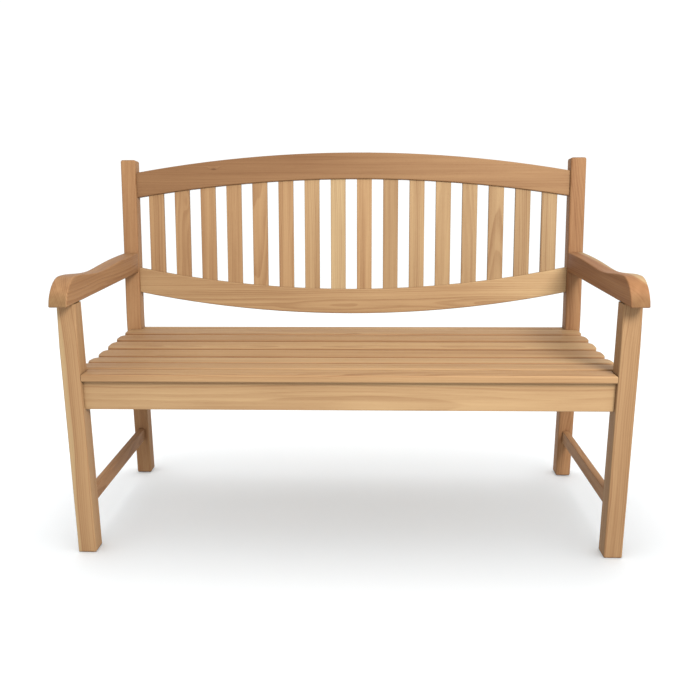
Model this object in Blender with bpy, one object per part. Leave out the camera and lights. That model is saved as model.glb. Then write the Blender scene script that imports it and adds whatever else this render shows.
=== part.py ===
"""Teak garden bench with an oval back, two arms and a gently dished slatted seat.

+X runs along the bench, -Y is the front, +Z is up. The origin is on the floor, in the middle
of the bench's length and depth. Left is -X and right is +X, as seen from the front.
Every frame joint is a mortise and tenon locked by a wooden dowel.
"""
import math

import bmesh
import bpy
from mathutils import Matrix, Vector

GAP = 0.0003                # clearance left between pieces that touch

# Frame
HALF_WIDTH = 0.646          # middle of the bench to the outer faces of legs and posts
LEG_WIDTH = 0.043
LEG_DEPTH = 0.045
POST_WIDTH = 0.042
POST_DEPTH = 0.043
POST_SETBACK = 0.489        # front face of the legs to front face of the posts
TAPER_START = 0.507         # above this height the front of a leg slopes back
TAPER = 0.007
LEG_ROUND = 0.003
POST_ROUND = 0.005

# Lean of the back: the posts bend along an arc and then run straight
RAKE = math.radians(6.6)
BEND_START = 0.435
BEND_RADIUS = 0.55
BEND_LENGTH = BEND_RADIUS * RAKE
BEND_PIECES = 5
PIVOT_HEIGHT = BEND_START + BEND_RADIUS * math.tan(RAKE / 2)
POST_RISE = 0.4512          # pivot to post top, along the raked post

# Arms
ARM_WIDTH = 0.041
ARM_BOTTOM = 0.6045
ARM_BACK_TOP = 0.6578
ARM_DIP = (0.207, 0.6499)   # distance behind the leg's front face, and height
ARM_HUMP = (0.030, 0.6643)
ARM_NOSE = (-0.038, 0.608)
# How far the curve of the arm runs straight on from each of those points, front and back
ARM_BACK_REACH = (-0.170, 0.0025)
ARM_DIP_REACH = 0.060
ARM_HUMP_REACH = (0.052, 0.030)
ARM_NOSE_REACH = (0.005, 0.030)
ARM_NOSE_CUT = 0.003        # slope of the underside behind the nose's lowest point
ARM_ROUND = 0.003

DEPTH = -ARM_NOSE[0] + POST_SETBACK + POST_RISE * math.sin(RAKE) + POST_DEPTH * math.cos(RAKE)
FRONT = -DEPTH / 2 - ARM_NOSE[0]    # y of the legs' front face
POST_FRONT = FRONT + POST_SETBACK   # y of the posts' front face below the bend

# Seat frame
RAIL_BOTTOM = 0.357
RAIL_THICK = 0.024
FRONT_RAIL_INSET = 0.012    # front rail behind the legs' front face
SIDE_RAIL_X = 0.624         # middle of the side rails
SIDE_RAIL_THICK = 0.022
BACK_RAIL_TOP = 0.4413      # level with the rear of the seat
BACK_RAIL_Y = POST_FRONT + 0.016
RAIL_ROUND = 0.002

# Seat: slats lie on flats that follow a shallow dish
SEAT_PITCH = 0.0745
SEAT_GAP = 0.012
SEAT_SLATS = 7
SEAT_THICK = 0.018
SEAT_FRONT_HEIGHT = 0.4437
SEAT_LOW_HEIGHT = 0.4337
SEAT_BACK_HEIGHT = 0.4413
DISH_START = 0.045          # distances behind the legs' front face
DISH_LOW = 0.205
DISH_END = 0.400
FIRST_SEAT_GAP = 0.055
SEAT_REAR = 0.500
SEAT_ROUND = 0.004
SEAT_CORNER = 0.020         # corners of a slat seen from above
SEAT_END = 0.640            # middle of the bench to the ends of the slats
NOSE_ROUND = 0.004

# Low side stretchers
STRETCHER_X = 0.6245
STRETCHER_THICK = 0.018
STRETCHER_BOTTOM = 0.105
STRETCHER_TOP = 0.140

# Back: heights are measured along the raked plane, up from the pivot
BACK_INSET = 0.009          # back rails behind the posts' front face
BACK_RAIL_THICK = 0.025
CREST_TOP = (0.4689, -3.54)     # height in the middle, and radius (negative arches up)
CREST_BOTTOM = (0.3971, -3.74)
LOWER_TOP = (0.0901, 3.02)
LOWER_BOTTOM = (0.0208, 3.04)
ARC_PIECES = 24             # straight pieces along each arc
BACK_SLATS = 16
BACK_SLAT_WIDTH = 0.042
BACK_SLAT_PITCH = 0.0736
BACK_SLAT_THICK = 0.013
BACK_SLAT_HOUSED = 0.012    # how far a slat runs into each rail
BACK_SLAT_ROUND = 0.0015

# Joints
TENON_THICK = 0.010
TENON_ROOT = 0.012          # how far a tenon block reaches back into its own piece
DOWEL_RADIUS = 0.004
DOWEL_SIDES = 16
DOWEL_SUNK = 0.0002         # dowel end below the face it is driven into
DOWEL_END_X = 0.612         # inner end of the dowels driven in from the outer faces
DOWEL_X = 0.620             # middle of the dowels driven in from the front or back
DOWEL_COVER = 0.012         # wood left beyond the blind end of a dowel
LEG_DOWEL = 0.014           # side dowels in a leg, from its back face
POST_DOWEL = 0.011          # side dowels in a post, from its front face
UPPER_TENON = (0.388, 0.409)    # side rails take the upper half of the corner joint
LOWER_TENON = (0.361, 0.386)    # front and back rails take the lower half
CORNER_TENON_LONG = 0.026       # front and back rails' tenons
SIDE_TENON_LONG = 0.022         # side rails' and stretchers' tenons
STRETCHER_SHOULDER = 0.005      # stretcher face above and below its tenon
BEARER_TENON = (0.365, 0.400)
BEARER_TENON_LONG = 0.008
LEG_TOP_TENON = 0.016           # side of the square tenon on top of a leg
LEG_TOP_TENON_TALL = 0.030
LEG_TOP_TENON_Y = FRONT + 0.027
ARM_TENON = (0.614, 0.647)
ARM_TENON_LONG = 0.022
ARM_TENON_THICK = 0.012
ARM_DOWEL_Z = ARM_BOTTOM + 0.018
POST_DOWEL_Z = 0.630
BACK_TENON_LONG = 0.024
BACK_TENON_TALL = 0.042
BACK_TENON_THICK = 0.011

# Colours of the boards, in linear RGB, and one roughness for oiled teak
TONES = {
    "golden": (0.50, 0.27, 0.10),
    "honey": (0.58, 0.34, 0.14),
    "pinkish": (0.47, 0.23, 0.10),
    "brown": (0.38, 0.18, 0.07),
    "pale": (0.64, 0.41, 0.19),
}
TEAK_ROUGHNESS = 0.55

LEG_INSIDE = HALF_WIDTH - LEG_WIDTH
POST_INSIDE = HALF_WIDTH - POST_WIDTH
SIDES = {"left": -1, "right": 1}


# --- scene helpers ---

def clear_scene():
    for obj in list(bpy.data.objects):
        bpy.data.objects.remove(obj, do_unlink=True)


def new_collection(name):
    collection = bpy.data.collections.new(name)
    bpy.context.scene.collection.children.link(collection)
    return collection


def teak(name, tone):
    material = bpy.data.materials.new(name + "_teak")
    material.use_nodes = True
    shader = material.node_tree.nodes["Principled BSDF"]
    shader.inputs["Base Color"].default_value = (*TONES[tone], 1.0)
    shader.inputs["Roughness"].default_value = TEAK_ROUGHNESS
    shader.inputs["Metallic"].default_value = 0.0
    return material


def add_part(name, bm, location, tone, parent=None):
    """Turns a bmesh into a named piece of the bench."""
    mesh = bpy.data.meshes.new(name)
    bm.to_mesh(mesh)
    bm.free()
    mesh.shade_smooth()
    mesh.set_sharp_from_angle(angle=math.radians(30))
    mesh.materials.append(teak(name, tone))
    obj = bpy.data.objects.new(name, mesh)
    obj.location = location
    obj.parent = parent
    bench.objects.link(obj)
    return obj


# --- shapes ---

def box(low, high):
    """A box as its two corners, put in order whichever side of the bench it is on."""
    return (Vector(map(min, low, high)), Vector(map(max, low, high)))


def centre(a_box):
    return (a_box[0] + a_box[1]) / 2


def add_box(bm, a_box):
    place = Matrix.LocRotScale(centre(a_box), None, a_box[1] - a_box[0])
    bmesh.ops.create_cube(bm, size=1.0, matrix=place)


def add_rod(bm, start, end, radius):
    along = end - start
    turn = Vector((0, 0, 1)).rotation_difference(along)
    place = Matrix.LocRotScale((start + end) / 2, turn, None)
    bmesh.ops.create_cone(bm, cap_ends=True, segments=DOWEL_SIDES, radius1=radius,
                          radius2=radius, depth=along.length, matrix=place)


def stock(a_box):
    """A bmesh box of a piece's size, centred on its own origin."""
    half = (a_box[1] - a_box[0]) / 2
    bm = bmesh.new()
    add_box(bm, (-half, half))
    return bm


def round_edges(bm, chosen, radius, segments=2):
    """Rounds the edges for which chosen(first vertex, second vertex) is true."""
    edges = [e for e in bm.edges if chosen(e.verts[0].co, e.verts[1].co)]
    bmesh.ops.bevel(bm, geom=edges, offset=radius, segments=segments, profile=0.5,
                    affect="EDGES", clamp_overlap=False)


def along(axis):
    """Chooses edges that run along an axis: 0, 1 or 2."""
    return lambda a, b: all(abs(a[i] - b[i]) < 1e-6 for i in range(3) if i != axis)


def slice_up(bm, axis, positions):
    normal = Vector([1.0 if i == axis else 0.0 for i in range(3)])
    for position in positions:
        geometry = bm.verts[:] + bm.edges[:] + bm.faces[:]
        bmesh.ops.bisect_plane(bm, geom=geometry, plane_co=normal * position, plane_no=normal)


def reshape(bm, rule):
    for vertex in bm.verts:
        vertex.co = rule(vertex.co)


def arc_height(arc, x):
    """Height at x of an arc given as its middle height and signed radius."""
    middle, radius = arc
    return middle + math.copysign(abs(radius) - math.sqrt(radius ** 2 - x ** 2), radius)


# --- joints ---

def grown(a_box, gap=GAP):
    return (a_box[0] - Vector((gap,) * 3), a_box[1] + Vector((gap,) * 3))


def add_operand(owner, purpose, build):
    """A hidden solid for a Boolean on owner, in the same frame as owner."""
    bm = bmesh.new()
    build(bm)
    mesh = bpy.data.meshes.new(owner.name + "_" + purpose)
    bm.to_mesh(mesh)
    bm.free()
    operand = bpy.data.objects.new(mesh.name, mesh)
    operand.parent = owner.parent
    operand.hide_render = True
    operand.display_type = "WIRE"
    cutters.objects.link(operand)
    return operand


def add_boolean(owner, operation, operand):
    modifier = owner.modifiers.new(operand.name, "BOOLEAN")
    modifier.operation = operation
    modifier.solver = "EXACT"
    modifier.object = operand


def join_up(owner, tenons=(), mortises=(), dowels=()):
    """Adds tenons to a piece, then cuts its mortises, then bores its dowel holes."""
    if tenons:
        blocks = add_operand(owner, "tenons", lambda bm: [add_box(bm, t) for t in tenons])
        add_boolean(owner, "UNION", blocks)
    if mortises:
        slots = add_operand(owner, "mortises", lambda bm: [add_box(bm, grown(m)) for m in mortises])
        add_boolean(owner, "DIFFERENCE", slots)
    if dowels:
        holes = add_operand(owner, "holes", lambda bm: [add_hole(bm, *d) for d in dowels])
        add_boolean(owner, "DIFFERENCE", holes)


def add_hole(bm, mouth, end):
    """A hole for a dowel: open past its mouth, and a little deeper than its blind end."""
    direction = (end - mouth).normalized()
    add_rod(bm, mouth - direction * LEG_ROUND, end + direction * GAP, DOWEL_RADIUS + GAP)


def across_dowel(sign, y, z):
    """Ends of a dowel driven in from the outer face of a leg or post."""
    return (Vector((sign * HALF_WIDTH, y, z)), Vector((sign * DOWEL_END_X, y, z)))


def make_dowel(name, ends, parent=None):
    mouth, end = ends
    start = mouth + (end - mouth).normalized() * DOWEL_SUNK
    middle = (start + end) / 2
    bm = bmesh.new()
    add_rod(bm, start - middle, end - middle, DOWEL_RADIUS)
    add_part(name, bm, middle, "brown", parent)


# --- where the joints are ---

def seat_height(distance):
    """Height of the dished seat line at a distance behind the legs' front face."""
    if distance < DISH_LOW:
        start, from_height = DISH_START, SEAT_FRONT_HEIGHT
    else:
        start, from_height = DISH_END, SEAT_BACK_HEIGHT
    share = min(max((distance - start) / (DISH_LOW - start), 0.0), 1.0)
    fall = (1 - math.cos(math.pi * share)) / 2
    return from_height + (SEAT_LOW_HEIGHT - from_height) * fall


def seat_joints():
    """Distances of the slat boundaries: the front edge, the middle of each gap, the rear edge."""
    gaps = [FIRST_SEAT_GAP + SEAT_PITCH * i for i in range(SEAT_SLATS - 1)]
    return [-SEAT_GAP / 2] + gaps + [SEAT_REAR + SEAT_GAP / 2]


def seat_bearing(distance):
    """Height of the flats that the slats lie on, which join the dish at each slat boundary."""
    joints = seat_joints()
    for near, far in zip(joints, joints[1:]):
        if distance <= far:
            share = (distance - near) / (far - near)
            top = seat_height(near) + (seat_height(far) - seat_height(near)) * share
            return top - SEAT_THICK
    return SEAT_BACK_HEIGHT - SEAT_THICK


def front_rail_tenon(sign):
    middle = FRONT + FRONT_RAIL_INSET + RAIL_THICK / 2
    return box((sign * (LEG_INSIDE - TENON_ROOT), middle - TENON_THICK / 2, LOWER_TENON[0]),
               (sign * (LEG_INSIDE + CORNER_TENON_LONG), middle + TENON_THICK / 2, LOWER_TENON[1]))


def back_rail_tenon(sign):
    middle = BACK_RAIL_Y + RAIL_THICK / 2
    return box((sign * (POST_INSIDE - TENON_ROOT), middle - TENON_THICK / 2, LOWER_TENON[0]),
               (sign * (POST_INSIDE + CORNER_TENON_LONG), middle + TENON_THICK / 2, LOWER_TENON[1]))


def side_tenon(sign, at_front, x, heights):
    """A tenon of a side rail or stretcher, into the leg in front or the post behind."""
    if at_front:
        reach = (FRONT + LEG_DEPTH - SIDE_TENON_LONG, FRONT + LEG_DEPTH + TENON_ROOT)
    else:
        reach = (POST_FRONT - TENON_ROOT, POST_FRONT + SIDE_TENON_LONG)
    half = TENON_THICK / 2
    return box((sign * (x - half), reach[0], heights[0]), (sign * (x + half), reach[1], heights[1]))


def side_rail_tenon(sign, at_front):
    return side_tenon(sign, at_front, SIDE_RAIL_X, UPPER_TENON)


def stretcher_tenon(sign, at_front):
    heights = (STRETCHER_BOTTOM + STRETCHER_SHOULDER, STRETCHER_TOP - STRETCHER_SHOULDER)
    return side_tenon(sign, at_front, STRETCHER_X, heights)


def bearer_tenon(at_front):
    half = TENON_THICK / 2
    if at_front:
        face = FRONT + FRONT_RAIL_INSET + RAIL_THICK
        reach = (face - BEARER_TENON_LONG, face + TENON_ROOT)
    else:
        reach = (BACK_RAIL_Y - TENON_ROOT, BACK_RAIL_Y + BEARER_TENON_LONG)
    return box((-half, reach[0], BEARER_TENON[0]), (half, reach[1], BEARER_TENON[1]))


def leg_top_tenon(sign):
    """The square tenon on top of a front leg, which the arm sits on."""
    x = sign * (HALF_WIDTH - LEG_WIDTH / 2)
    half = LEG_TOP_TENON / 2
    return box((x - half, LEG_TOP_TENON_Y - half, ARM_BOTTOM - TENON_ROOT),
               (x + half, LEG_TOP_TENON_Y + half, ARM_BOTTOM + LEG_TOP_TENON_TALL))


def post_front_at(height):
    """y of the front face of a raked post at a height above the bend."""
    return POST_FRONT + (height - PIVOT_HEIGHT) * math.tan(RAKE)


def arm_tenon(sign):
    x = HALF_WIDTH - POST_WIDTH / 2
    half = ARM_TENON_THICK / 2
    face = post_front_at(ARM_BOTTOM)
    return box((sign * (x - half), face - TENON_ROOT, ARM_TENON[0]),
               (sign * (x + half), face + ARM_TENON_LONG, ARM_TENON[1]))


def back_tenon(sign, arcs):
    """A tenon of the crest or lower back rail, in the raked frame."""
    middle = (arc_height(arcs[0], POST_INSIDE) + arc_height(arcs[1], POST_INSIDE)) / 2
    y = BACK_INSET + BACK_RAIL_THICK / 2
    half = Vector((0, BACK_TENON_THICK / 2, BACK_TENON_TALL / 2))
    return box(Vector((sign * (POST_INSIDE - TENON_ROOT), y, middle)) - half,
               Vector((sign * (POST_INSIDE + BACK_TENON_LONG), y, middle)) + half)


def dowels_for(sign):
    """Every dowel on one side of the bench, in world axes, by the joint that it locks."""
    lower = sum(LOWER_TENON) / 2
    upper = sum(UPPER_TENON) / 2
    low = (STRETCHER_BOTTOM + STRETCHER_TOP) / 2
    in_leg = FRONT + LEG_DEPTH - LEG_DOWEL
    in_post = POST_FRONT + POST_DOWEL
    leg_back = FRONT + LEG_DEPTH
    post_back = POST_FRONT + POST_DEPTH
    x = sign * DOWEL_X
    return {
        "front_rail": (Vector((x, leg_back, lower)), Vector((x, FRONT + DOWEL_COVER, lower))),
        "back_rail": (Vector((x, post_back, lower)), Vector((x, POST_FRONT + DOWEL_COVER, lower))),
        "side_rail_front": across_dowel(sign, in_leg, upper),
        "side_rail_back": across_dowel(sign, in_post, upper),
        "stretcher_front": across_dowel(sign, in_leg, low),
        "stretcher_back": across_dowel(sign, in_post, low),
        "arm_leg": across_dowel(sign, LEG_TOP_TENON_Y, ARM_DOWEL_Z),
        "arm_post": across_dowel(sign, post_front_at(POST_DOWEL_Z) + POST_DOWEL, POST_DOWEL_Z),
    }


def back_dowel(sign, arcs):
    """A dowel through a back rail's tenon, driven in from behind, in the raked frame."""
    middle = (arc_height(arcs[0], POST_INSIDE) + arc_height(arcs[1], POST_INSIDE)) / 2
    x = sign * DOWEL_X
    return (Vector((x, POST_DEPTH, middle)), Vector((x, DOWEL_COVER, middle)))


# --- legs and posts ---

def make_front_leg(side, sign):
    whole = box((sign * LEG_INSIDE, FRONT, 0), (sign * HALF_WIDTH, FRONT + LEG_DEPTH, ARM_BOTTOM - GAP))
    middle = centre(whole)
    crease = TAPER_START - middle.z
    top = whole[1].z - middle.z
    bm = stock(whole)
    foot = -top
    round_edges(bm, lambda a, b: along(2)(a, b) or max(a.z, b.z) < foot + GAP, LEG_ROUND)
    slice_up(bm, 2, [crease])

    def taper(co):
        share = max(co.z - crease, 0.0) / (top - crease)
        from_back = 0.5 - co.y / LEG_DEPTH
        return Vector((co.x, co.y + TAPER * share * from_back, co.z))

    reshape(bm, taper)
    leg = add_part("front_leg_" + side, bm, middle, "golden" if sign < 0 else "pinkish")
    dowels = dowels_for(sign)
    join_up(leg, tenons=[leg_top_tenon(sign)],
            mortises=[front_rail_tenon(sign), side_rail_tenon(sign, True), stretcher_tenon(sign, True)],
            dowels=[dowels[j] for j in ("front_rail", "side_rail_front", "stretcher_front")])
    bore_tenon(leg, dowels["arm_leg"])


def bore_tenon(owner, dowel):
    """A dowel hole that only meets the owner's tenon, inside a neighbour's mortise."""
    add_boolean(owner, "DIFFERENCE", add_operand(owner, "tenon_hole", lambda bm: add_hole(bm, *dowel)))


def post_point(co, length):
    """Bends a straight post: co is in the straight stock, centred, front face at -y."""
    height = co.z + length / 2
    depth = co.y + POST_DEPTH / 2
    bend = min(max(height - BEND_START, 0.0) / BEND_RADIUS, RAKE)
    beyond = max(height - BEND_START - BEND_LENGTH, 0.0)
    y = BEND_RADIUS * (1 - math.cos(bend)) + beyond * math.sin(bend) + depth * math.cos(bend)
    z = (min(height, BEND_START) + BEND_RADIUS * math.sin(bend)
         + beyond * math.cos(bend) - depth * math.sin(bend))
    return Vector((co.x, y, z))


def make_back_post(side, sign):
    tangent = BEND_RADIUS * math.tan(RAKE / 2)
    length = BEND_START + BEND_LENGTH + POST_RISE - tangent
    blank = box((0, 0, 0), (POST_WIDTH, POST_DEPTH, length))
    bm = stock(blank)
    round_edges(bm, lambda a, b: True, POST_ROUND)
    slice_up(bm, 2, [BEND_START - length / 2 + BEND_LENGTH * i / BEND_PIECES for i in range(BEND_PIECES + 1)])
    reshape(bm, lambda co: post_point(co, length))
    origin = Vector((sign * (HALF_WIDTH - POST_WIDTH / 2), POST_FRONT, 0))
    post = add_part("back_post_" + side, bm, origin, "golden" if sign < 0 else "honey")
    dowels = dowels_for(sign)
    join_up(post,
            mortises=[back_rail_tenon(sign), side_rail_tenon(sign, False),
                      stretcher_tenon(sign, False), arm_tenon(sign)],
            dowels=[dowels[j] for j in ("back_rail", "side_rail_back", "stretcher_back", "arm_post")])
    raked = {"crest": (CREST_BOTTOM, CREST_TOP), "lower": (LOWER_BOTTOM, LOWER_TOP)}
    for purpose, arcs in raked.items():
        cut_raked(post, purpose + "_mortise", lambda bm: add_box(bm, grown(back_tenon(sign, arcs))))
        cut_raked(post, purpose + "_hole", lambda bm: add_hole(bm, *back_dowel(sign, arcs)))


def cut_raked(post, purpose, build):
    """A cut in an upright post by a solid of the raked frame."""
    operand = add_operand(post, purpose, build)
    operand.parent = back_frame
    add_boolean(post, "DIFFERENCE", operand)


# --- seat frame ---

def make_front_rail():
    y = FRONT + FRONT_RAIL_INSET
    top = seat_bearing(0.0) - GAP
    whole = box((-LEG_INSIDE + GAP, y, RAIL_BOTTOM), (LEG_INSIDE - GAP, y + RAIL_THICK, top))
    bm = stock(whole)
    round_edges(bm, along(0), RAIL_ROUND)
    rail = add_part("front_rail", bm, centre(whole), "pale")
    join_up(rail, tenons=[front_rail_tenon(s) for s in SIDES.values()],
            mortises=[bearer_tenon(True)],
            dowels=[dowels_for(s)["front_rail"] for s in SIDES.values()])


def make_back_rail():
    whole = box((-POST_INSIDE + GAP, BACK_RAIL_Y, RAIL_BOTTOM),
                (POST_INSIDE - GAP, BACK_RAIL_Y + RAIL_THICK, BACK_RAIL_TOP))
    bm = stock(whole)
    round_edges(bm, along(0), RAIL_ROUND)
    rail = add_part("back_rail", bm, centre(whole), "golden")
    join_up(rail, tenons=[back_rail_tenon(s) for s in SIDES.values()],
            mortises=[bearer_tenon(False)],
            dowels=[dowels_for(s)["back_rail"] for s in SIDES.values()])


def make_bearing_rail(name, x_middle, thick, y_range, tone):
    """A front-to-back rail whose top has a flat under each seat slat."""
    whole = box((x_middle - thick / 2, y_range[0], RAIL_BOTTOM),
                (x_middle + thick / 2, y_range[1], SEAT_BACK_HEIGHT - SEAT_THICK))
    middle = centre(whole)
    bm = stock(whole)
    slice_up(bm, 1, [FRONT + d - middle.y for d in seat_joints() if y_range[0] < FRONT + d < y_range[1]])

    def follow_seat(co):
        if co.z < 0:
            return co
        bearing = seat_bearing(co.y + middle.y - FRONT) - GAP
        return Vector((co.x, co.y, bearing - middle.z))

    reshape(bm, follow_seat)
    return add_part(name, bm, middle, tone)


def make_side_rail(side, sign):
    ends = (FRONT + LEG_DEPTH + GAP, POST_FRONT - GAP)
    rail = make_bearing_rail("side_rail_" + side, sign * SIDE_RAIL_X, SIDE_RAIL_THICK, ends, "golden")
    dowels = dowels_for(sign)
    join_up(rail, tenons=[side_rail_tenon(sign, True), side_rail_tenon(sign, False)],
            dowels=[dowels["side_rail_front"], dowels["side_rail_back"]])


def make_seat_bearer():
    ends = (FRONT + FRONT_RAIL_INSET + RAIL_THICK + GAP, BACK_RAIL_Y - GAP)
    bearer = make_bearing_rail("seat_bearer_middle", 0.0, SIDE_RAIL_THICK, ends, "honey")
    join_up(bearer, tenons=[bearer_tenon(True), bearer_tenon(False)])


def make_stretcher(side, sign):
    half = STRETCHER_THICK / 2
    whole = box((sign * (STRETCHER_X - half), FRONT + LEG_DEPTH + GAP, STRETCHER_BOTTOM),
                (sign * (STRETCHER_X + half), POST_FRONT - GAP, STRETCHER_TOP))
    bm = stock(whole)
    round_edges(bm, along(1), RAIL_ROUND)
    stretcher = add_part("side_stretcher_" + side, bm, centre(whole), "golden" if sign < 0 else "pinkish")
    dowels = dowels_for(sign)
    join_up(stretcher, tenons=[stretcher_tenon(sign, True), stretcher_tenon(sign, False)],
            dowels=[dowels["stretcher_front"], dowels["stretcher_back"]])


# --- seat slats ---

def make_seat_slat(name, index, tone):
    joints = seat_joints()
    near = joints[index] + SEAT_GAP / 2
    far = joints[index + 1] - SEAT_GAP / 2
    is_front = index == 0
    is_rear = index == SEAT_SLATS - 1
    rise = seat_bearing(joints[index + 1]) - seat_bearing(joints[index])
    slope = math.atan2(rise, joints[index + 1] - joints[index])
    half_length = LEG_INSIDE - GAP if is_front else SEAT_END
    size = Vector((2 * half_length, (far - near) / math.cos(slope), SEAT_THICK))
    bm = stock((-size / 2, size / 2))
    front_edge = -size.y / 2

    def on_top(a, b):
        return min(a.z, b.z) > 0

    def front_bottom(a, b):
        return is_front and max(a.y, b.y) < front_edge + GAP and max(a.z, b.z) < 0

    if is_front:
        round_edges(bm, lambda a, b: on_top(a, b) or front_bottom(a, b), NOSE_ROUND, segments=3)
    else:
        round_edges(bm, along(2), SEAT_CORNER, segments=3)
        round_edges(bm, on_top, SEAT_ROUND, segments=3)
    distance = (near + far) / 2
    lift = SEAT_THICK / 2 * math.cos(slope)
    place = Vector((0, FRONT + distance - SEAT_THICK / 2 * math.sin(slope), seat_bearing(distance) + lift))
    slat = add_part(name, bm, place, tone)
    slat.rotation_euler = (slope, 0, 0)
    if is_rear:
        posts = [box((s * POST_INSIDE, POST_FRONT, 0), (s * 2 * HALF_WIDTH, POST_FRONT + POST_DEPTH, 1))
                 for s in SIDES.values()]
        join_up(slat, mortises=posts)


def make_seat():
    tones = ["honey", "pinkish", "golden", "honey", "golden", "pinkish", "golden"]
    for index, tone in enumerate(tones):
        ends = {0: "front", SEAT_SLATS - 1: "rear"}
        make_seat_slat("seat_slat_" + ends.get(index, str(index + 1)), index, tone)


# --- arms ---

def arm_outline():
    """A closed 2D Bezier outline of an arm seen from the side: (y, z) and both handles."""
    back_low = (post_front_at(ARM_BOTTOM) - GAP - FRONT, ARM_BOTTOM)
    back_high = (post_front_at(ARM_BACK_TOP) - GAP - FRONT, ARM_BACK_TOP)
    dip_y, dip_z = ARM_DIP
    hump_y, hump_z = ARM_HUMP
    nose_y, nose_z = ARM_NOSE
    return [
        (back_low, back_low, back_low),
        (back_high, back_high, (back_high[0] + ARM_BACK_REACH[0], ARM_BACK_TOP + ARM_BACK_REACH[1])),
        (ARM_DIP, (dip_y + ARM_DIP_REACH, dip_z), (dip_y - ARM_DIP_REACH, dip_z)),
        (ARM_HUMP, (hump_y + ARM_HUMP_REACH[0], hump_z), (hump_y - ARM_HUMP_REACH[1], hump_z)),
        (ARM_NOSE, (nose_y + ARM_NOSE_REACH[0], nose_z + ARM_NOSE_REACH[1]), (nose_y, nose_z)),
        ((nose_y + ARM_NOSE_CUT, ARM_BOTTOM), (nose_y, ARM_BOTTOM), (nose_y + ARM_NOSE_CUT, ARM_BOTTOM)),
    ]


def arm_curve():
    curve = bpy.data.curves.new("arm_outline", "CURVE")
    curve.dimensions = "2D"
    curve.fill_mode = "BOTH"
    curve.extrude = ARM_WIDTH / 2
    curve.resolution_u = 8
    outline = arm_outline()
    spline = curve.splines.new("BEZIER")
    spline.bezier_points.add(len(outline) - 1)
    spline.use_cyclic_u = True
    for point, (co, left, right) in zip(spline.bezier_points, outline):
        point.handle_left_type = "FREE"
        point.handle_right_type = "FREE"
        point.co = (*co, 0)
        point.handle_left = (*left, 0)
        point.handle_right = (*right, 0)
    return bpy.data.objects.new("arm_outline", curve)


def arm_mesh():
    """The extruded outline as a welded mesh, with its width along x."""
    guide = arm_curve()
    cutters.objects.link(guide)
    bpy.context.view_layer.update()
    solid = guide.evaluated_get(bpy.context.evaluated_depsgraph_get())
    mesh = bpy.data.meshes.new_from_object(solid)
    bm = bmesh.new()
    bm.from_mesh(mesh)
    bmesh.ops.remove_doubles(bm, verts=bm.verts, dist=1e-5)
    bmesh.ops.dissolve_limit(bm, angle_limit=math.radians(0.5), verts=bm.verts, edges=bm.edges)
    outline_to_bench = Matrix(((0, 0, 1, 0), (1, 0, 0, 0), (0, 1, 0, 0), (0, 0, 0, 1)))
    bmesh.ops.transform(bm, matrix=outline_to_bench, verts=bm.verts)
    bmesh.ops.recalc_face_normals(bm, faces=bm.faces)
    bpy.data.meshes.remove(mesh)
    bpy.data.objects.remove(guide, do_unlink=True)
    return bm


def make_arm(side, sign):
    origin = Vector((sign * (HALF_WIDTH - ARM_WIDTH / 2), FRONT, 0))
    back_end = POST_SETBACK - LEG_ROUND

    def long_rim(a, b):
        is_side = abs(a.x - b.x) < 1e-6
        return is_side and min(a.y, b.y) < back_end

    bm = arm_mesh()
    round_edges(bm, long_rim, ARM_ROUND)
    arm = add_part("arm_" + side, bm, origin, "honey" if sign < 0 else "brown")
    dowels = dowels_for(sign)
    join_up(arm, tenons=[arm_tenon(sign)], mortises=[leg_top_tenon(sign)], dowels=[dowels["arm_leg"]])
    bore_tenon(arm, dowels["arm_post"])


# --- back ---

def back_slat_boxes():
    """Slats evenly spaced about the middle, each housed in both rails, in the raked frame."""
    y = BACK_INSET + BACK_RAIL_THICK / 2
    half = BACK_SLAT_THICK / 2
    boxes = []
    for index in range(BACK_SLATS):
        x = (index - (BACK_SLATS - 1) / 2) * BACK_SLAT_PITCH
        low = arc_height(LOWER_TOP, x) - BACK_SLAT_HOUSED
        high = arc_height(CREST_BOTTOM, x) + BACK_SLAT_HOUSED
        reach = BACK_SLAT_WIDTH / 2
        boxes.append(box((x - reach, y - half, low), (x + reach, y + half, high)))
    return boxes


def make_back_slats():
    tones = ["pinkish", "golden", "honey", "pale", "golden", "pinkish", "honey", "pale"]
    for index, whole in enumerate(back_slat_boxes()):
        bm = stock(whole)
        round_edges(bm, along(2), BACK_SLAT_ROUND)
        name = "back_slat_{:02d}".format(index + 1)
        add_part(name, bm, centre(whole), tones[index % len(tones)], back_frame)


def make_arched_rail(name, arcs, tone):
    """A board whose lower and upper edges follow two arcs, with mortises for the slats."""
    bottom, top = arcs
    height = top[0] - bottom[0]
    half_length = POST_INSIDE - GAP
    whole = box((-half_length, BACK_INSET, 0), (half_length, BACK_INSET + BACK_RAIL_THICK, height))
    bm = stock(whole)
    round_edges(bm, along(0), LEG_ROUND)
    slice_up(bm, 0, [half_length * (2 * i / ARC_PIECES - 1) for i in range(1, ARC_PIECES)])

    def bow(co):
        share = co.z / height + 0.5
        low = arc_height(bottom, co.x)
        return Vector((co.x, co.y, low + share * (arc_height(top, co.x) - low)))

    reshape(bm, bow)
    place = Vector((0, BACK_INSET + BACK_RAIL_THICK / 2, 0))
    rail = add_part(name, bm, place, tone, back_frame)
    join_up(rail, tenons=[back_tenon(s, arcs) for s in SIDES.values()], mortises=back_slat_boxes(),
            dowels=[back_dowel(s, arcs) for s in SIDES.values()])


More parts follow.
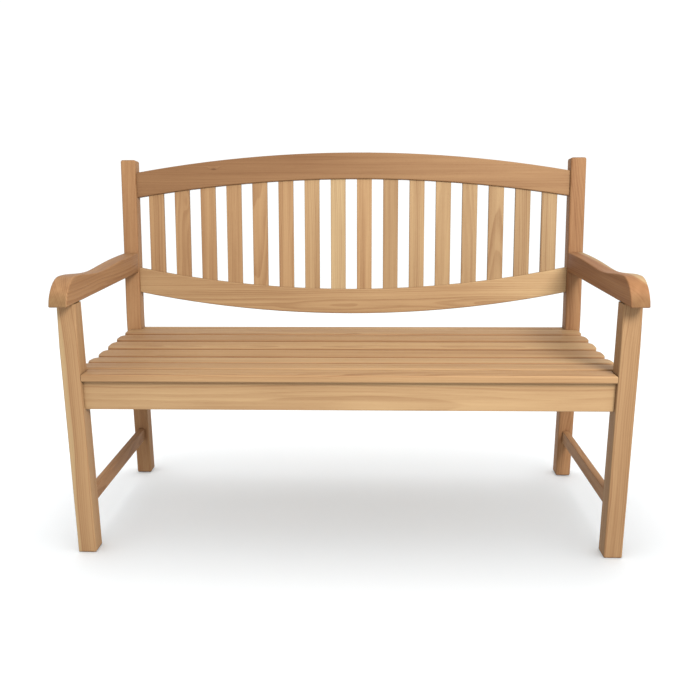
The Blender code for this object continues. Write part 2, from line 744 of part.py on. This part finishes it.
def make_back():
    crest = (CREST_BOTTOM, CREST_TOP)
    lower = (LOWER_BOTTOM, LOWER_TOP)
    make_arched_rail("crest_rail", crest, "pinkish")
    make_arched_rail("lower_back_rail", lower, "golden")
    make_back_slats()
    for side, sign in SIDES.items():
        make_dowel("dowel_crest_" + side, back_dowel(sign, crest), back_frame)
        make_dowel("dowel_lower_back_" + side, back_dowel(sign, lower), back_frame)


# --- assembly ---

def make_side(side, sign):
    make_front_leg(side, sign)
    make_back_post(side, sign)
    make_side_rail(side, sign)
    make_stretcher(side, sign)
    make_arm(side, sign)
    for joint, ends in dowels_for(sign).items():
        make_dowel("dowel_" + joint + "_" + side, ends)


clear_scene()
bench = new_collection("garden_bench")
cutters = new_collection("cutters")

back_frame = bpy.data.objects.new("back_frame", None)
back_frame.location = (0, POST_FRONT, PIVOT_HEIGHT)
back_frame.rotation_euler = (-RAKE, 0, 0)
bench.objects.link(back_frame)

for each_side, each_sign in SIDES.items():
    make_side(each_side, each_sign)
make_front_rail()
make_back_rail()
make_seat_bearer()
make_seat()
make_back()
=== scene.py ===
import math
import random
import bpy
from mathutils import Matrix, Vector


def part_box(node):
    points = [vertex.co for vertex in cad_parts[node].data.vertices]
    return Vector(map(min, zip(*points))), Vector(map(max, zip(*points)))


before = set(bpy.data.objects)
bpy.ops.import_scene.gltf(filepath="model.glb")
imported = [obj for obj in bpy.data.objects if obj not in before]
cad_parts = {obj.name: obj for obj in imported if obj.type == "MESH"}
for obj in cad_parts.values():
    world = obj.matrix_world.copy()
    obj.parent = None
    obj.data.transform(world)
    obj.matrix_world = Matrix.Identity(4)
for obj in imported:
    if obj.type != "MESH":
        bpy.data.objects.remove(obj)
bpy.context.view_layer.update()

import zlib

import bpy
from mathutils import Euler, Matrix, Vector

RAKE = math.radians(6.6)    # lean of the posts and the back

# ---------------------------------------------------------------- colours, in linear RGB

PALE_TEAK = (0.36, 0.224, 0.112)
SAPWOOD = (0.36, 0.255, 0.135, 1.0)
KNOT_BROWN = (0.10, 0.045, 0.02, 1.0)
# These three multiply the wood's colour.
END_GRAIN_TINT = (0.70, 0.76, 0.72, 1.0)
WORN_EDGE_TINT = (1.22, 1.2, 1.15, 1.0)
# Painted shade: this darkens the wood where pieces meet, in the joints.
JOINT_SHADE_TINT = (0.42, 0.34, 0.28, 1.0)

GREEN_FALL = 1.4    # how much faster green and blue fall than red as teak darkens
BLUE_FALL = 1.6
WORN_RADIUS = 0.0022
JOINT_REACH = 0.014     # how far a neighbour's face can be and still cast painted shade in the joint


def wood_tone(lightness, yellow=1.0):
    """A teak colour: darker wood is redder. Above 1, yellow is less pink."""
    red, green, blue = PALE_TEAK
    share = lightness / red
    green = green * yellow * share ** GREEN_FALL
    blue = blue * yellow ** BLUE_FALL * share ** BLUE_FALL
    return (lightness, green, blue, 1.0)


# ---------------------------------------------------------------- node trees

class Tree:
    """Short calls that add nodes to a shader tree and join them up."""

    def __init__(self, tree):
        self.tree = tree

    def add(self, kind, feeds=None, **settings):
        node = self.tree.nodes.new(kind)
        for name, value in settings.items():
            setattr(node, name, value)
        for socket, value in (feeds or {}).items():
            self.feed(node.inputs[socket], value)
        return node

    def feed(self, socket, value):
        if isinstance(value, bpy.types.NodeSocket):
            self.tree.links.new(value, socket)
        else:
            socket.default_value = value

    def math(self, operation, *values, clamp=False):
        node = self.add("ShaderNodeMath", operation=operation, use_clamp=clamp)
        for socket, value in zip(node.inputs, values):
            self.feed(socket, value)
        return node.outputs[0]

    def vector(self, operation, *values, out=0):
        node = self.add("ShaderNodeVectorMath", operation=operation)
        for socket, value in zip(node.inputs, values):
            self.feed(socket, value)
        return node.outputs[out]

    def scaled(self, place, across, along):
        """The board's coordinates stretched for a pattern: across the grain and along it."""
        return self.vector("MULTIPLY", place, (across, across, along))

    def noise(self, place, detail=2.0, rough=0.5, out="Fac"):
        feeds = {"Vector": place, "Scale": 1.0, "Detail": detail, "Roughness": rough}
        return self.add("ShaderNodeTexNoise", feeds).outputs[out]

    def step(self, value, low, high):
        """Goes smoothly from 0 at low to 1 at high."""
        feeds = {"Value": value, "From Min": low, "From Max": high}
        node = self.add("ShaderNodeMapRange", feeds, interpolation_type="SMOOTHSTEP")
        return node.outputs["Result"]

    def mix(self, amount, first, second, blend="MIX"):
        node = self.add("ShaderNodeMix", data_type="RGBA", blend_type=blend)
        self.feed(node.inputs[0], amount)
        self.feed(node.inputs[6], first)
        self.feed(node.inputs[7], second)
        return node.outputs[2]


# Scales of the patterns in the wood, across and along the grain, for each metre
SWAY_SCALE = (2.2, 1.3)
RIPPLE_SCALE = (30.0, 7.0)
BAND_SCALE = (70.0, 1.4)
CLOUD_SCALE = (14.0, 3.0)
FIBRE_SCALE = (900.0, 9.0)
PORE_SCALE = (1500.0, 45.0)
UNEVEN_SCALE = 60.0     # how quickly the years' widths change outwards

SWAY = (0.042, 0.042, 0.0)          # how far the growth rings wander
RIPPLE = (0.0035, 0.0035, 0.0)
MIDDLE = (0.5, 0.5, 0.5)            # a noise colour's middle value

# How strongly each pattern darkens the wood, and how dark it is with none
BAND_DEPTH = 1.15
CLOUD_DEPTH = 0.55
FIBRE_DEPTH = 0.45
PORE_DEPTH = 0.28
PLAIN_DEPTH = 0.18

BUMP_STRENGTH = 0.35
BUMP_DISTANCE = 0.0005


def new_teak_group():
    """A node group with the wood's inputs and outputs, and nothing in it yet."""
    group = bpy.data.node_groups.new("teak", "ShaderNodeTree")
    for name, kind in (("Board", "Vector"), ("Light", "Color"), ("Dark", "Color"),
                       ("Sapwood", "Color"), ("Sap radius", "Float"), ("Ring width", "Float"),
                       ("Ring contrast", "Float"), ("Knot", "Vector"), ("Knot size", "Float"),
                       ("End grain", "Float"), ("Shade", "Float")):
        group.interface.new_socket(name, in_out="INPUT", socket_type="NodeSocket" + kind)
    for name, kind in (("Color", "Color"), ("Roughness", "Float"), ("Normal", "Vector")):
        group.interface.new_socket(name, in_out="OUTPUT", socket_type="NodeSocket" + kind)
    return group


def trunk_radius(t, board):
    """Distance from the pith. The trunk isn't straight, so its rings wander along the board."""
    sway = t.noise(t.scaled(board, *SWAY_SCALE), 1.0, out="Color")
    sway = t.vector("SUBTRACT", sway, MIDDLE)
    swayed = t.vector("MULTIPLY_ADD", sway, SWAY, board)
    ripple = t.noise(t.scaled(board, *RIPPLE_SCALE), 2.0, out="Color")
    ripple = t.vector("SUBTRACT", ripple, MIDDLE)
    swayed = t.vector("MULTIPLY_ADD", ripple, RIPPLE, swayed)
    flat = t.vector("MULTIPLY", swayed, (1.0, 1.0, 0.0))
    return t.vector("LENGTH", flat, out=1)


def knot_push(t, given):
    """How far a knot pushes the rings aside, and its dark core."""
    away = t.vector("SUBTRACT", given["Board"], given["Knot"])
    away = t.vector("MULTIPLY", away, (1.0, 1.0, 0.33))
    away = t.math("DIVIDE", t.vector("LENGTH", away, out=1), given["Knot size"])
    bulge = t.math("EXPONENT", t.math("MULTIPLY", t.math("MULTIPLY", away, away), -0.5))
    push = t.math("MULTIPLY", bulge, t.math("MULTIPLY", given["Knot size"], 1.6))
    return push, t.step(away, 0.75, 0.2)


def growth_ring(t, radius, ring_width):
    """The wood darkens slowly to the end of each year, then starts pale again."""
    uneven = t.noise(t.math("MULTIPLY", radius, UNEVEN_SCALE), 1.0)
    year = t.math("DIVIDE", radius, ring_width)
    year = t.math("MULTIPLY_ADD", uneven, 1.8, year)
    part = t.math("FRACT", year)
    ring = t.math("MULTIPLY", t.step(part, 0.15, 0.88), t.step(part, 1.0, 0.93))
    whole = t.math("FLOOR", year)
    strength = t.add("ShaderNodeTexWhiteNoise", {"W": whole}, noise_dimensions="1D")
    strength = t.math("MULTIPLY_ADD", strength.outputs[0], 0.8, 0.2)
    return t.math("MULTIPLY", ring, strength)


def darken(t, pattern, depth, dark):
    """Adds a noise pattern, which darkens and lightens about its middle."""
    return t.math("MULTIPLY_ADD", t.math("SUBTRACT", pattern, 0.5), depth, dark)


def sapwood_share(t, radius, cloud, dark, sap_radius):
    """Sapwood lies outside the heartwood, with a soft uneven border."""
    border = t.math("MULTIPLY_ADD", t.math("SUBTRACT", cloud, 0.5), 0.012, radius)
    border = t.math("SUBTRACT", border, sap_radius)
    sap = t.step(border, -0.001, 0.0025)
    return t.math("MULTIPLY", sap, t.math("MULTIPLY_ADD", dark, -0.5, 0.85))


def worn_edge(t, cloud):
    """1 on the piece's outer edges, unevenly."""
    soft = t.add("ShaderNodeBevel", {"Radius": WORN_RADIUS}, samples=4).outputs[0]
    facing = t.add("ShaderNodeNewGeometry").outputs["Normal"]
    edge = t.step(t.vector("DOT_PRODUCT", soft, facing, out=1), 0.995, 0.86)
    return t.math("MULTIPLY", edge, t.math("MULTIPLY_ADD", cloud, 0.8, 0.1), clamp=True)


def painted_joint_shade(t):
    """1 where pieces meet: the mask of the painted shade in the joints."""
    open_air = t.add("ShaderNodeAmbientOcclusion", {"Distance": JOINT_REACH}, samples=6).outputs["AO"]
    return t.step(open_air, 0.62, 0.30)


def roughness(t, fibre, pores, end, edge):
    rough = t.math("MULTIPLY_ADD", fibre, 0.16, 0.50)
    rough = t.math("MULTIPLY_ADD", end, 0.12, rough)
    rough = t.math("MULTIPLY_ADD", edge, -0.08, rough)
    return t.math("MULTIPLY_ADD", pores, 0.10, rough, clamp=True)


def relief(t, fibre, ring, pores):
    """Fibres and late wood stand up a little, and pores are pits."""
    height = t.math("MULTIPLY_ADD", fibre, 0.5, t.math("MULTIPLY", ring, 0.35))
    height = t.math("MULTIPLY_ADD", pores, -0.7, height)
    feeds = {"Strength": BUMP_STRENGTH, "Distance": BUMP_DISTANCE, "Height": height}
    return t.add("ShaderNodeBump", feeds).outputs[0]


def teak_group():
    """The wood itself, for a board whose grain runs along Z with the pith at the Z axis."""
    group = new_teak_group()
    t = Tree(group)
    given = t.add("NodeGroupInput").outputs
    board = given["Board"]
    push, core = knot_push(t, given)
    radius = t.math("ADD", trunk_radius(t, board), push)
    ring = growth_ring(t, radius, given["Ring width"])

    # Broad bands of colour, soft clouds, fine fibres and the open pores, all long and thin.
    bands = t.noise(t.scaled(board, *BAND_SCALE), 3.0)
    cloud = t.noise(t.scaled(board, *CLOUD_SCALE), 2.0)
    fibre = t.noise(t.scaled(board, *FIBRE_SCALE), 2.0, 0.6)
    pores = t.step(t.noise(t.scaled(board, *PORE_SCALE), 1.0), 0.62, 0.72)
    pores = t.math("MULTIPLY", pores, t.math("MULTIPLY_ADD", ring, 0.6, 0.4))

    dark = t.math("MULTIPLY", ring, given["Ring contrast"])
    dark = darken(t, bands, BAND_DEPTH, dark)
    dark = darken(t, cloud, CLOUD_DEPTH, dark)
    dark = darken(t, fibre, FIBRE_DEPTH, dark)
    dark = t.math("MULTIPLY_ADD", pores, PORE_DEPTH, dark)
    dark = t.math("ADD", dark, PLAIN_DEPTH, clamp=True)
    wood = t.mix(dark, given["Light"], given["Dark"])
    sap = sapwood_share(t, radius, cloud, dark, given["Sap radius"])
    wood = t.mix(sap, wood, given["Sapwood"])
    wood = t.mix(t.math("MULTIPLY", core, 0.75), wood, KNOT_BROWN)

    # End grain is darker and duller, and worn edges are a little paler.
    end = t.step(given["End grain"], 0.70, 0.97)
    wood = t.mix(t.math("MULTIPLY", end, 0.8), wood, END_GRAIN_TINT, "MULTIPLY")
    edge = worn_edge(t, cloud)
    wood = t.mix(t.math("MULTIPLY", edge, 0.35), wood, WORN_EDGE_TINT, "MULTIPLY")

    # A board can drift in tone along its length, and its Shade input also brings painted shade for
    # the seat gaps. Painted shade darkens the wood where pieces meet.
    drift = t.vector("MULTIPLY_ADD", given["Shade"], (1.0, GREEN_FALL, BLUE_FALL), (1.0, 1.0, 1.0))
    wood = t.vector("MULTIPLY", wood, drift)
    # Painted shade where pieces meet, found by a short ambient occlusion.
    wood = t.mix(t.math("MULTIPLY", painted_joint_shade(t), 0.75), wood, JOINT_SHADE_TINT, "MULTIPLY")

    made = t.add("NodeGroupOutput")
    t.feed(made.inputs["Color"], wood)
    t.feed(made.inputs["Roughness"], roughness(t, fibre, pores, end, edge))
    t.feed(made.inputs["Normal"], relief(t, fibre, ring, pores))
    return group


TEAK = teak_group()


# ---------------------------------------------------------------- boards

# How a board's own frame is turned, so that its grain runs along Z.
TURNS = {
    "X": Euler((0.0, -math.pi / 2, 0.0)),
    "Y": Euler((math.pi / 2, 0.0, 0.0)),
    "Z": Euler((0.0, 0.0, 0.0)),
    "raked": Euler((RAKE, 0.0, 0.0)),
    "post": Euler((RAKE / 2, 0.0, 0.0)),
}
FAR = 9.0   # a sapwood radius or knot place that no board reaches
LIGHTER, DARKER = 1.15, 0.68    # a board's palest and darkest wood, from its tone
NO_FADE = (0.0, 1.0, 0.0)


def teak(name, tone, grain, yellow=1.0, pith=None, ring=0.0036, contrast=0.5, sap=FAR,
         knot=None, knot_size=0.006, fade=NO_FADE, painted_gap_shade=0.0):
    """Gives one piece its own board of teak.

    The tone is its lightness. The pith is where the trunk's middle lies from the board's own.
    A fade is a place along the grain, the length it is spread over, and how much lighter it gets.
    Painted gap shade darkens the faces that look to the front or back, as painted shade in the gaps
    between seat slats.
    """
    draw = random.Random(zlib.crc32(name.encode()))
    angle, reach = draw.uniform(0, 2 * math.pi), draw.uniform(0.05, 0.12)
    pith = pith or (reach * math.cos(angle), reach * math.sin(angle))
    low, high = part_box(name)
    centre = (low + high) / 2
    turn = TURNS[grain]
    shift = Vector((-pith[0], -pith[1], draw.uniform(1.0, 40.0)))
    place = shift - turn.to_matrix() @ centre
    axis = turn.to_matrix().transposed() @ Vector((0, 0, 1))

    material = bpy.data.materials.new("teak_" + name)
    material.use_nodes = True
    t = Tree(material.node_tree)
    shader = t.tree.nodes["Principled BSDF"]
    shader.inputs["Specular IOR Level"].default_value = 0.12
    where = t.add("ShaderNodeTexCoord")
    board = t.add("ShaderNodeMapping", {"Vector": where.outputs["Object"], "Location": place})
    board.inputs["Rotation"].default_value = turn
    along = t.vector("DOT_PRODUCT", where.outputs["Normal"], tuple(axis), out=1)
    end = t.math("ABSOLUTE", along)
    spot = Vector((FAR, FAR, FAR))
    if knot:
        spot = turn.to_matrix() @ (centre + Vector(knot)) + place
    place_along, spread, change = fade
    position = t.vector("DOT_PRODUCT", where.outputs["Object"], tuple(axis), out=1)
    drift_and_gap_shade = t.step(position, place_along - spread / 2, place_along + spread / 2)
    drift_and_gap_shade = t.math("MULTIPLY", drift_and_gap_shade, change)
    # Painted shade on the faces that look to the front or back, standing for the shade in the seat
    # gaps.
    if painted_gap_shade:
        upright = t.vector("DOT_PRODUCT", where.outputs["Normal"], (0.0, 1.0, 0.0), out=1)
        upright = t.step(t.math("ABSOLUTE", upright), 0.35, 0.85)
        drift_and_gap_shade = t.math("MULTIPLY_ADD", upright, -painted_gap_shade, drift_and_gap_shade)
    feeds = {
        "Board": board.outputs[0], "Light": wood_tone(tone * LIGHTER, yellow),
        "Dark": wood_tone(tone * DARKER, yellow), "Shade": drift_and_gap_shade,
        "Sapwood": SAPWOOD, "Sap radius": sap, "Ring width": ring,
        "Ring contrast": contrast, "Knot": spot, "Knot size": knot_size, "End grain": end,
    }
    wood = t.add("ShaderNodeGroup", node_tree=TEAK)
    for socket, value in feeds.items():
        t.feed(wood.inputs[socket], value)
    t.feed(shader.inputs["Base Color"], wood.outputs["Color"])
    t.feed(shader.inputs["Roughness"], wood.outputs["Roughness"])
    t.feed(shader.inputs["Normal"], wood.outputs["Normal"])
    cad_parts[name].material_slots[0].material = material


WELD = 0.00001
SHARP_ANGLE = math.radians(50)


def smooth_group():
    """Joins the split faces, then shades soft edges smooth and leaves crisp ones sharp."""
    group = bpy.data.node_groups.new("joined_faces", "GeometryNodeTree")
    group.interface.new_socket("Geometry", in_out="INPUT", socket_type="NodeSocketGeometry")
    group.interface.new_socket("Geometry", in_out="OUTPUT", socket_type="NodeSocketGeometry")
    t = Tree(group)
    mesh = t.add("NodeGroupInput").outputs[0]
    feeds = {"Geometry": mesh, "Name": "custom_normal"}
    mesh = t.add("GeometryNodeRemoveAttribute", feeds).outputs[0]
    feeds = {"Geometry": mesh, "Distance": WELD}
    mesh = t.add("GeometryNodeMergeByDistance", feeds).outputs[0]
    angle = t.add("GeometryNodeInputMeshEdgeAngle").outputs[0]
    sharp = t.math("GREATER_THAN", angle, SHARP_ANGLE)
    feeds = {"Geometry": mesh, "Shade Smooth": True}
    mesh = t.add("GeometryNodeSetShadeSmooth", feeds, domain="FACE").outputs[0]
    feeds = {"Geometry": mesh, "Selection": sharp, "Shade Smooth": False}
    mesh = t.add("GeometryNodeSetShadeSmooth", feeds, domain="EDGE").outputs[0]
    made = t.add("NodeGroupOutput")
    t.feed(made.inputs[0], mesh)
    return group


SMOOTH = smooth_group()


def shade(name):
    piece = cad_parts[name]
    joined = piece.modifiers.new("joined_faces", "NODES")
    joined.node_group = SMOOTH
    piece.modifiers.new("flat_faces", "WEIGHTED_NORMAL").keep_sharp = True


def shade_frame():
    teak("front_leg_left", 0.288, "Z", 1.0, pith=(0.060, 0.030), sap=0.090)
    teak("front_leg_right", 0.272, "Z", 1.04, pith=(-0.062, 0.030), sap=0.093)
    teak("back_post_left", 0.272, "post", 0.94)
    teak("back_post_right", 0.242, "post", 0.95)
    teak("side_rail_left", 0.30, "Y")
    teak("side_rail_right", 0.30, "Y")
    teak("side_stretcher_left", 0.250, "Y", 0.96)
    teak("side_stretcher_right", 0.265, "Y", 0.96)
    teak("arm_left", 0.258, "Y", 0.96)
    teak("arm_right", 0.234, "Y", 0.91, pith=(-0.050, 0.050), sap=0.094)
    teak("front_rail", 0.333, "X", 1.03, pith=(0.02, -0.060), ring=0.0050, contrast=0.35)
    teak("back_rail", 0.33, "X")
    teak("seat_bearer_middle", 0.30, "Y")


SEAT = ["seat_slat_front"] + [f"seat_slat_{n}" for n in range(2, 7)] + ["seat_slat_rear"]
SEAT_TONES = (0.278, 0.284, 0.309, 0.280, 0.311, 0.285, 0.296)
# Painted shade: every seat slat is darker towards its left end, near the left arm.
SEAT_LEFT_END_SHADE = (-0.47, 0.3, 0.13)
# Painted shade on the seat slats' front and rear faces, in the gaps.
PAINTED_GAP_SHADE = 0.32


def shade_seat():
    """The first gap is hidden behind the front slat's rear edge, so the painted gap shade starts at
    the second.
    """
    for name, tone in zip(SEAT, SEAT_TONES):
        teak(name, tone, "X", fade=SEAT_LEFT_END_SHADE, painted_gap_shade=0.0 if name in SEAT[:2] else PAINTED_GAP_SHADE)


BACK_TONES = (0.278, 0.291, 0.296, 0.301, 0.305, 0.305, 0.315, 0.361,
              0.324, 0.287, 0.315, 0.305, 0.287, 0.291, 0.291, 0.296)
# The slats that are less pink than the rest, by number from the left.
YELLOWER = {7: 1.05, 8: 1.09, 10: 1.08, 11: 1.06, 12: 1.07, 13: 1.09, 14: 1.08, 15: 1.09, 16: 1.10}
KNOTTY_SLAT = 2


def shade_back():
    teak("crest_rail", 0.198, "X", 1.03, knot=(-0.385, -0.010, 0.018), knot_size=0.005,
         fade=(0.15, 0.9, 0.30))
    teak("lower_back_rail", 0.320, "X", 1.02, pith=(0.035, -0.045), fade=(0.42, 0.3, 0.18))
    for n, tone in enumerate(BACK_TONES, 1):
        knot = (0.013, -0.004, 0.090) if n == KNOTTY_SLAT else None
        teak(f"back_slat_{n:02d}", tone, "raked", YELLOWER.get(n, 1.0), knot=knot)


# The joints whose dowels are driven in from the front or back, not from the side.
THROUGH_JOINTS = ("crest", "lower_back", "back_rail", "front_rail")


def shade_dowels():
    for name in sorted(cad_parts):
        if name.startswith("dowel_"):
            grain = "Y" if any(joint in name for joint in THROUGH_JOINTS) else "X"
            teak(name, 0.27, grain, ring=0.0015)


shade_frame()
shade_seat()
shade_back()
shade_dowels()
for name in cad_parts:
    shade(name)


# ---------------------------------------------------------------- stage

FLOOR_HALF = 30.0
FLOOR_WHITE = (0.95, 0.95, 0.95, 1.0)
FLOOR_GLOW = (0.45, 0.80, 1.0, 1.0)     # cool light that keeps the bench's shadow a neutral grey


def make_floor():
    mesh = bpy.data.meshes.new("floor")
    corners = [(x * FLOOR_HALF, y * FLOOR_HALF, 0) for x, y in ((-1, -1), (1, -1), (1, 1), (-1, 1))]
    mesh.from_pydata(corners, [], [(0, 1, 2, 3)])
    floor = bpy.data.objects.new("floor", mesh)
    bpy.context.scene.collection.objects.link(floor)
    material = bpy.data.materials.new("pale_floor")
    material.use_nodes = True
    shader = material.node_tree.nodes["Principled BSDF"]
    shader.inputs["Base Color"].default_value = FLOOR_WHITE
    shader.inputs["Roughness"].default_value = 0.9
    shader.inputs["Specular IOR Level"].default_value = 0.1
    shader.inputs["Emission Color"].default_value = FLOOR_GLOW
    shader.inputs["Emission Strength"].default_value = 0.10
    mesh.materials.append(material)
    return floor


def make_light(name, place, target, size, power, tint=(1.0, 1.0, 1.0)):
    lamp = bpy.data.lights.new(name, "AREA")
    lamp.shape = "DISK"
    lamp.size = size
    lamp.energy = power
    lamp.color = tint
    light = bpy.data.objects.new(name, lamp)
    light.location = place
    light.rotation_euler = (Vector(target) - Vector(place)).to_track_quat("-Z", "Y").to_euler()
    bpy.context.scene.collection.objects.link(light)
    return light


def link_light(light, piece, state):
    """INCLUDE: the light falls on this piece alone. EXCLUDE: on everything but this piece."""
    linked = bpy.data.collections.new("linked_to_" + light.name)
    linked.objects.link(piece)
    linked.collection_objects[0].light_linking.link_state = state
    light.light_linking.receiver_collection = linked


def make_world():
    world = bpy.data.worlds.new("white_studio")
    world.use_nodes = True
    background = world.node_tree.nodes["Background"]
    background.inputs["Color"].default_value = (1.0, 1.0, 1.0, 1.0)
    background.inputs["Strength"].default_value = 1.06
    bpy.context.scene.world = world


CAMERA_PLACE = (0.05145, -1.94841, 0.91732)
YAW, PITCH, ROLL = -0.03607, 0.24412, -0.00626


def make_camera():
    """About 1.7 m in front of the legs and a little lower than the crest, looking down."""
    data = bpy.data.cameras.new("camera")
    data.sensor_width = 36.0
    data.lens = 39.994
    data.shift_x = 0.01144
    data.shift_y = 0.00189
    data.clip_end = 200.0
    camera = bpy.data.objects.new("camera", data)
    level = math.cos(PITCH)
    forward = Vector((math.sin(YAW) * level, math.cos(YAW) * level, -math.sin(PITCH)))
    right = Vector((math.cos(YAW), -math.sin(YAW), 0.0))
    up = right.cross(forward)
    side = math.cos(ROLL) * right + math.sin(ROLL) * up
    top = math.cos(ROLL) * up - math.sin(ROLL) * right
    turned = Matrix((side, top, -forward)).transposed()
    camera.matrix_world = Matrix.Translation(CAMERA_PLACE) @ turned.to_4x4()
    bpy.context.scene.collection.objects.link(camera)
    bpy.context.scene.camera = camera


studio_floor = make_floor()
make_world()
# The key light models the wood, and only the overhead light casts the shadow on the floor.
WARM = (1.0, 0.98, 0.95)
key = make_light("key", (1.25, -2.35, 2.35), (0.1, 0.0, 0.4), 1.2, 128.0, WARM)
link_light(key, studio_floor, "EXCLUDE")
overhead = make_light("overhead", (0.0, 0.40, 3.0), (0.0, 0.2, 0.0), 2.5, 25.0)
link_light(overhead, studio_floor, "INCLUDE")
make_camera()
bpy.context.scene.view_settings.view_transform = "Standard"
